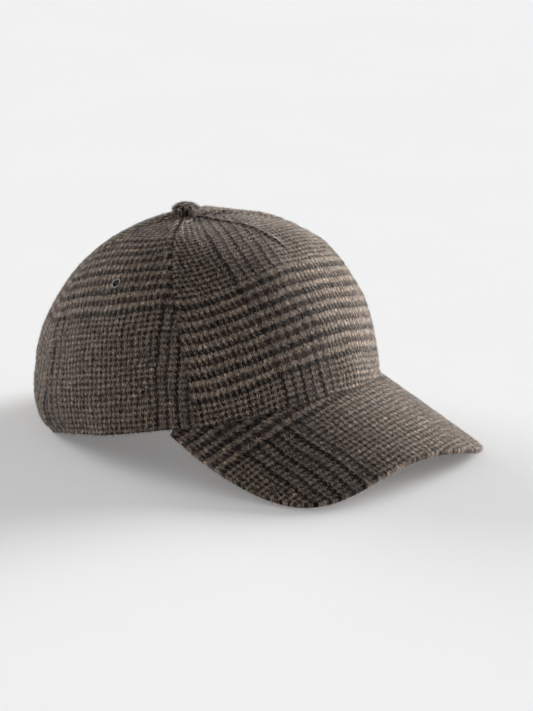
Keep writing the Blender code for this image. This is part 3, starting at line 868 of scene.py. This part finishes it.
# The cover was stretched over the arch: its weft sags in the middle, and its warp is eased there
warp = (arc + PEAK_CLOTH_MARGIN) / THREAD
weft = (top_face[..., 1] / cos(PEAK_PITCH) + PEAK_CLOTH_MARGIN) / THREAD
weft = (weft - PEAK_WEFT_SAG * (warp - PEAK_WEFT_MIDDLE) ** 2) / PEAK_WEFT_EASE + PEAK_WEFT_START
aside = warp - PEAK_WARP_MIDDLE
warp = PEAK_WARP_START + PEAK_WARP_EASE * aside + PEAK_WARP_SPREAD * aside ** 3
laid = np.stack([warp, weft], -1) * THREAD
peak = cloth_shell("peak_wool", top_face, under_face, laid)
raise_nap(peak, top_face, laid, PEAK_TOP_NAP, 8)
raise_nap(peak, under_face[:, ::-1], laid[:, ::-1], PEAK_UNDER_NAP, 9)
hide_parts("peak")
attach(peak, "root")


# Button
# A domed metal disc covered with a gathered round of the same wool. Its shank goes through the hole
# where the five panels meet, and holds them together.

BUTTON_RADIUS = 7.4 * MM
BUTTON_HEIGHT = 7.0 * MM
BUTTON_EDGE_HEIGHT = 3.4 * MM
BUTTON_TUCK = 1.4 * MM
BUTTON_SINK = 0.4 * MM
BUTTON_TOP_RADIUS = 0.02 * MM
BUTTON_HOLLOW = 0.8, 0.8, 0.6
BUTTON_HOLLOW_LIFT = 0.25 * MM
BUTTON_PLEATS = 13
BUTTON_PLEAT_DEPTH = 0.16 * MM
BUTTON_CLOTH_START = 0.3 * THREAD
BUTTON_NAP = 1200


def covered_button():
    """Grids for the button's cloth: its gathered face, and the hollow under it."""
    around = np.linspace(0, 2 * pi, 97)
    pleat = BUTTON_PLEAT_DEPTH * np.sin(BUTTON_PLEATS * around + np.sin(2 * around))
    rounds = []
    for tucked in np.linspace(pi / 2, 0, 8)[:-1]:
        rounds.append((BUTTON_RADIUS - BUTTON_TUCK * (1 - cos(tucked)),
                       BUTTON_EDGE_HEIGHT * (1 - sin(tucked)), 1))
    for tall in np.linspace(0, 1, 40) ** 0.8:
        angle = pi / 2 * tall
        rounds.append((BUTTON_RADIUS * cos(angle) if tall < 1 else BUTTON_TOP_RADIUS,
                       BUTTON_EDGE_HEIGHT + (BUTTON_HEIGHT - BUTTON_EDGE_HEIGHT) * sin(angle),
                       cos(angle) ** 3))
    face = np.stack([np.stack([(radius + gathered * pleat) * np.cos(around),
                               (radius + gathered * pleat) * np.sin(around),
                               height + 0 * around], -1) for radius, height, gathered in rounds])
    return face, face * BUTTON_HOLLOW + [0, 0, BUTTON_HOLLOW_LIFT]


face, under = covered_button()
button_seat = [0, TOP_SET_BACK, CROWN_HEIGHT - BUTTON_SINK]
button_cloth = face[..., :2] + BUTTON_CLOTH_START
button = cloth_shell("button_wool", face + button_seat, under + button_seat, button_cloth)
raise_nap(button, face + button_seat, button_cloth, BUTTON_NAP, 10)
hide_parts("button")
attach(button, "root")


# Table
# A pale matt table top, plain and without a visible edge, so that the cap is seen alone.

TABLE_HALF_WIDTH = 6.0
TABLE_GLOW = 0.15


def pale_table():
    """White laminate, quite matt, with faint clouds a hand wide.

    A slight glow stands for the light that a white studio throws back, so that shadows stay light.
    """
    white = bpy.data.materials.new("pale_laminate")
    white.use_nodes = True
    tree = white.node_tree
    shader = tree.nodes["Principled BSDF"]
    place = add(tree, "ShaderNodeTexCoord", output="Object")
    mottle = add(tree, "ShaderNodeTexNoise", {"Vector": place, "Scale": 9.0, "Detail": 2.0})
    colour = add(tree, "ShaderNodeMix", {0: mottle, 6: linear("#e4e4e4"), 7: linear("#e7e7e7")}, 2,
                 data_type="RGBA")
    tree.links.new(colour, shader.inputs["Base Color"])
    shader.inputs["Roughness"].default_value = 0.85
    shader.inputs["Specular IOR Level"].default_value = 0.1
    shader.inputs["Emission Color"].default_value = linear("#ffffff")
    shader.inputs["Emission Strength"].default_value = TABLE_GLOW
    return white


shape = bmesh.new()
bmesh.ops.create_grid(shape, x_segments=4, y_segments=4, size=TABLE_HALF_WIDTH)
sheet = bpy.data.meshes.new("table")
shape.to_mesh(sheet)
shape.free()
sheet.materials.append(pale_table())
table = bpy.data.objects.new("table", sheet)
bpy.context.collection.objects.link(table)


# Light and camera
# Even studio light from all round, and two broad soft sources low behind the cap: a strong one to its
# right in the picture and a weak one to its left. The camera stands low, to the front right of the
# cap, with a long lens.

VIEW_AZIMUTH = radians(-47.135)
VIEW_ELEVATION = radians(16.953)
VIEW_DISTANCE = 2.458
VIEW_LENS = 228.7
AIM = Vector((0, hem_middle - 30 * MM, 58 * MM))
AIM_RIGHT = 5.604 * MM
AIM_DOWN = 9.514 * MM
SURROUND = 0.28
SOFT_LIGHTS = [  # name, degrees round to the right from straight behind, height, strength, width
    ("right_window", 52, 3, 11.8, 44),
    ("back_window", -49, 8, 3.9, 46)]

back = Vector((sin(VIEW_AZIMUTH) * cos(VIEW_ELEVATION), -cos(VIEW_AZIMUTH) * cos(VIEW_ELEVATION),
               sin(VIEW_ELEVATION)))
right = Vector((cos(VIEW_AZIMUTH), sin(VIEW_AZIMUTH), 0))
above = back.cross(right)

world = bpy.data.worlds.new("studio")
world.use_nodes = True
world.node_tree.nodes["Background"].inputs["Color"].default_value = linear("#ffffff")
world.node_tree.nodes["Background"].inputs["Strength"].default_value = SURROUND
bpy.context.scene.world = world

away = Vector((-back.x, -back.y, 0)).normalized()
for name, to_right, height, strength, width in SOFT_LIGHTS:
    sun = bpy.data.lights.new(name, "SUN")
    sun.energy = strength
    sun.angle = radians(width)
    light = bpy.data.objects.new(name, sun)
    heading = right * sin(radians(to_right)) + away * cos(radians(to_right))
    toward = heading * cos(radians(height)) + Vector((0, 0, sin(radians(height))))
    light.rotation_euler = toward.to_track_quat("Z", "Y").to_euler()
    bpy.context.collection.objects.link(light)

lens = bpy.data.cameras.new("camera")
lens.lens = VIEW_LENS
lens.sensor_width = 36
lens.clip_end = 50
camera = bpy.data.objects.new("camera", lens)
camera.matrix_world = Matrix((
    (*(right.x, above.x, back.x), 0), (*(right.y, above.y, back.y), 0),
    (*(right.z, above.z, back.z), 0), (0, 0, 0, 1)))
camera.location = AIM + right * AIM_RIGHT - above * AIM_DOWN + back * VIEW_DISTANCE
bpy.context.collection.objects.link(camera)
bpy.context.scene.camera = camera
bpy.context.scene.view_settings.view_transform = "Standard"
